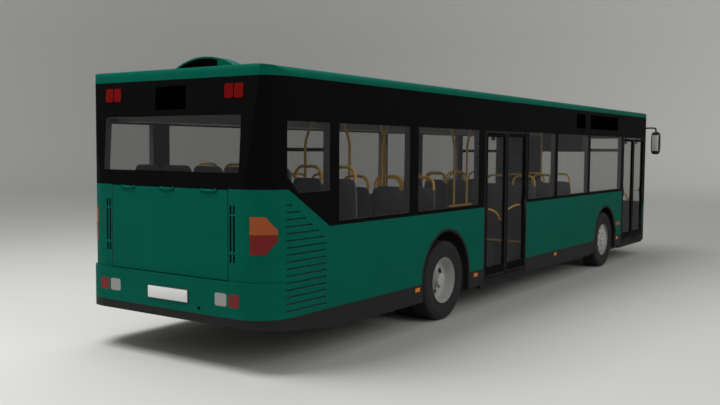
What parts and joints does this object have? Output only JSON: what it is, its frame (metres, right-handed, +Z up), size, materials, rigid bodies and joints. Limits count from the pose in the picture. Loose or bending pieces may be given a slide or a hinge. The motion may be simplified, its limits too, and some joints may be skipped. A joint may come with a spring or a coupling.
{
  "type": "low-floor city bus",
  "caption": "Rigid low-floor city bus with gliding door pairs on the right, a rear engine behind a top-hinged lid, twin rear wheels and steered front wheels.",
  "frame": {"origin": "on the ground under the middle of the overall box, mirrors included", "axes": "+X forward, +Y to the left, +Z up"},
  "size_m": [12.13, 2.83, 2.975],
  "materials": {
    "green": "gloss",
    "black": "gloss",
    "dark": "satin",
    "glass": "gloss",
    "lamp_red": "gloss",
    "lamp_amber": "gloss",
    "lamp_clear": "gloss",
    "yellow": "satin",
    "seat": "matte",
    "lining": "matte",
    "floor": "matte",
    "steel": "matte",
    "rim": "satin",
    "tyre": "matte"
  },
  "bodies": {
    "body": {"floor": "floor", "wheel_boxes": "lining", "side_panels_right": "green", "side_panels_left": "green", "skirts": "dark", "arch_lips": "dark", "window_band_right": "black", "window_band_left": "black", "side_glass": "glass", "door_frames": "dark", "roof": "green", "roof_cowl": "green", "ceiling": "lining", "rear_corners": "green", "rear_bumper": "green", "rear_frame": "black", "rear_window": "glass", "tail_lamps": "lamp_red", "rear_lamps": "lamp_red", "front_bumper": "dark", "front_panel": "green", "front_frame": "black", "windscreen": "glass", "head_lamps": "lamp_clear", "signs": "black", "marker_lamps": "lamp_amber", "mirrors": "black", "seats": "seat", "seat_backs": "seat", "seat_hoops": "yellow", "handrails": "yellow", "dashboard": "dark", "driver_seat": "seat", "driver_partition": "dark", "front_axle": "steel", "rear_axle": "steel", "engine": "steel"},
    "engine_lid": {"engine_lid": "green"},
    "middle_post_rear": {"middle_post_rear": "steel"},
    "middle_leaf_rear": {"middle_leaf_rear": "black", "middle_glass_rear": "glass"},
    "middle_post_fore": {"middle_post_fore": "steel"},
    "middle_leaf_fore": {"middle_leaf_fore": "black", "middle_glass_fore": "glass"},
    "front_post_rear": {"front_post_rear": "steel"},
    "front_leaf_rear": {"front_leaf_rear": "black", "front_glass_rear": "glass"},
    "front_post_fore": {"front_post_fore": "steel"},
    "front_leaf_fore": {"front_leaf_fore": "black", "front_glass_fore": "glass"},
    "knuckle_left": {"knuckle_left": "steel"},
    "front_wheel_left": {"front_rim_left": "rim", "front_tyre_left": "tyre"},
    "rear_wheel_left": {"rear_wheel_left": "rim", "rear_tyres_left": "tyre"},
    "knuckle_right": {"knuckle_right": "steel"},
    "front_wheel_right": {"front_rim_right": "rim", "front_tyre_right": "tyre"},
    "rear_wheel_right": {"rear_wheel_right": "rim", "rear_tyres_right": "tyre"}
  },
  "joints": [
    {"name": "middle_door", "type": "hinge", "parent": "body", "child": "middle_post_rear", "pos_m": [-1.74, -1.23, 0.33], "axis": [0, 0, 1], "range_deg": [0, 82]},
    {"name": "middle_door_fore", "type": "hinge", "parent": "body", "child": "middle_post_fore", "pos_m": [-0.386, -1.23, 0.33], "axis": [0, 0, 1], "range_deg": [-82, 0]},
    {"name": "middle_leaf_rear_turn", "type": "hinge", "parent": "middle_post_rear", "child": "middle_leaf_rear", "pos_m": [-1.4015, -1.23, 0.375], "axis": [0, 0, 1], "range_deg": [-164, 0]},
    {"name": "middle_leaf_fore_turn", "type": "hinge", "parent": "middle_post_fore", "child": "middle_leaf_fore", "pos_m": [-0.7245, -1.23, 0.375], "axis": [0, 0, 1], "range_deg": [0, 164]},
    {"name": "front_door", "type": "hinge", "parent": "body", "child": "front_post_rear", "pos_m": [4.02, -1.23, 0.33], "axis": [0, 0, 1], "range_deg": [0, 82]},
    {"name": "front_door_fore", "type": "hinge", "parent": "body", "child": "front_post_fore", "pos_m": [5.36, -1.23, 0.33], "axis": [0, 0, 1], "range_deg": [-82, 0]},
    {"name": "front_leaf_rear_turn", "type": "hinge", "parent": "front_post_rear", "child": "front_leaf_rear", "pos_m": [4.355, -1.23, 0.375], "axis": [0, 0, 1], "range_deg": [-164, 0]},
    {"name": "front_leaf_fore_turn", "type": "hinge", "parent": "front_post_fore", "child": "front_leaf_fore", "pos_m": [5.025, -1.23, 0.375], "axis": [0, 0, 1], "range_deg": [0, 164]},
    {"name": "engine_lid", "type": "hinge", "parent": "body", "child": "engine_lid", "pos_m": [-6.044, 0, 1.668], "axis": [0, 1, 0], "range_deg": [0, 80]},
    {"name": "steering", "type": "hinge", "parent": "body", "child": "knuckle_left", "pos_m": [3.11, 0.98, 0.482], "axis": [0, 0, 1], "range_deg": [-45, 45]},
    {"name": "front_wheel_left_spin", "type": "hinge", "parent": "knuckle_left", "child": "front_wheel_left", "pos_m": [3.11, 1.107, 0.482], "axis": [0, 1, 0], "continuous": true},
    {"name": "rear_wheel_left_spin", "type": "hinge", "parent": "body", "child": "rear_wheel_left", "pos_m": [-2.735, 0.952, 0.482], "axis": [0, 1, 0], "continuous": true},
    {"name": "steering_right", "type": "hinge", "parent": "body", "child": "knuckle_right", "pos_m": [3.11, -0.98, 0.482], "axis": [0, 0, 1], "range_deg": [-45, 45]},
    {"name": "front_wheel_right_spin", "type": "hinge", "parent": "knuckle_right", "child": "front_wheel_right", "pos_m": [3.11, -1.107, 0.482], "axis": [0, 1, 0], "continuous": true},
    {"name": "rear_wheel_right_spin", "type": "hinge", "parent": "body", "child": "rear_wheel_right", "pos_m": [-2.735, -0.952, 0.482], "axis": [0, 1, 0], "continuous": true}
  ],
  "couplings": [
    {"joint": "middle_door_fore", "follows": "middle_door", "ratio": -1},
    {"joint": "middle_leaf_rear_turn", "follows": "middle_door", "ratio": -2},
    {"joint": "middle_leaf_fore_turn", "follows": "middle_door", "ratio": 2},
    {"joint": "front_door_fore", "follows": "front_door", "ratio": -1},
    {"joint": "front_leaf_rear_turn", "follows": "front_door", "ratio": -2},
    {"joint": "front_leaf_fore_turn", "follows": "front_door", "ratio": 2},
    {"joint": "steering_right", "follows": "steering", "ratio": 1}
  ]
}
